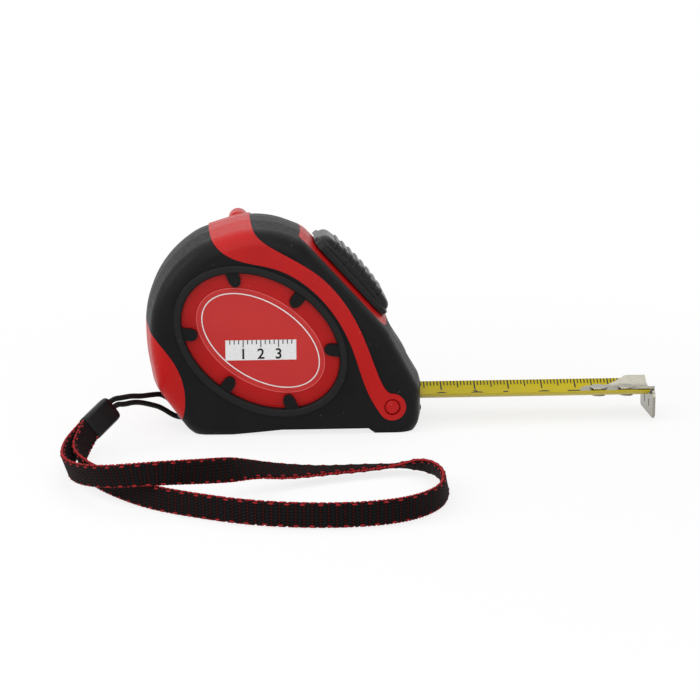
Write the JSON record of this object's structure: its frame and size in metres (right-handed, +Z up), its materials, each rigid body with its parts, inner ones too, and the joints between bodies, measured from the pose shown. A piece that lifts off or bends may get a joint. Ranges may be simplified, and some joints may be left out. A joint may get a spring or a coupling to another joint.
{
  "type": "tape measure",
  "caption": "Self-retracting pocket tape measure with a rubber-jacketed case, sliding thumb lock, pulled-out curved blade with end hook, belt clip and wrist strap.",
  "frame": {"origin": "on the base plane and the centre plane, in the middle of the flat underside of the front foot", "axes": "+X along the pulled-out tape towards the hook, +Z up, +Y away from the labelled side"},
  "size_m": [0.1694, 0.1296, 0.0605],
  "materials": {
    "red_abs": "satin moulded",
    "black_rubber": "matte overmould",
    "label": "smooth film",
    "steel": "plated",
    "drum_plastic": "moulded",
    "tape_paint": "smooth paint",
    "spring_steel": "hardened",
    "black_plastic": "moulded",
    "nickel": "nickel plated",
    "cord_fabric": "braided",
    "webbing_fabric": "woven, red edges"
  },
  "bodies": {
    "case": {"right_shell": "red_abs", "left_shell": "red_abs", "right_jacket": "black_rubber", "left_jacket": "black_rubber", "right_label": "label", "left_label": "label", "nose_caps": "red_abs", "case_screws": "steel", "reel_post": "steel", "tape_lead": "tape_paint", "mouth_guide": "black_plastic", "lanyard_pin": "steel", "belt_clip": "spring_steel", "clip_screw": "steel", "strap_cord": "cord_fabric", "strap_sleeve": "black_plastic", "strap_webbing": "webbing_fabric"},
    "reel": {"tape_drum": "drum_plastic", "drum_lid": "drum_plastic", "tape_coil": "tape_paint", "mainspring": "spring_steel"},
    "blade": {"tape_blade": "tape_paint", "hook_rivets": "nickel"},
    "hook": {"end_hook": "nickel"},
    "lock": {"lock_button": "black_plastic", "brake_shoe": "black_plastic"}
  },
  "joints": [
    {"name": "reel_spin", "type": "hinge", "parent": "case", "child": "reel", "pos_m": [-0.0365, 0, 0.02855], "axis": [0, -1, 0], "range_deg": [-215.2, 0]},
    {"name": "tape_pull", "type": "slide", "parent": "case", "child": "blade", "axis": [1, 0, 0], "range_m": [-0.0665, 0]},
    {"name": "hook_play", "type": "slide", "parent": "blade", "child": "hook", "axis": [1, 0, 0], "range_m": [-0.0005, 0.0005]},
    {"name": "lock_slide", "type": "slide", "parent": "case", "child": "lock", "axis": [0.6756, 0, -0.7373], "range_m": [0, 0.004]}
  ],
  "couplings": [
    {"joint": "tape_pull", "follows": "reel_spin", "m_per_rad": 0.0177}
  ]
}
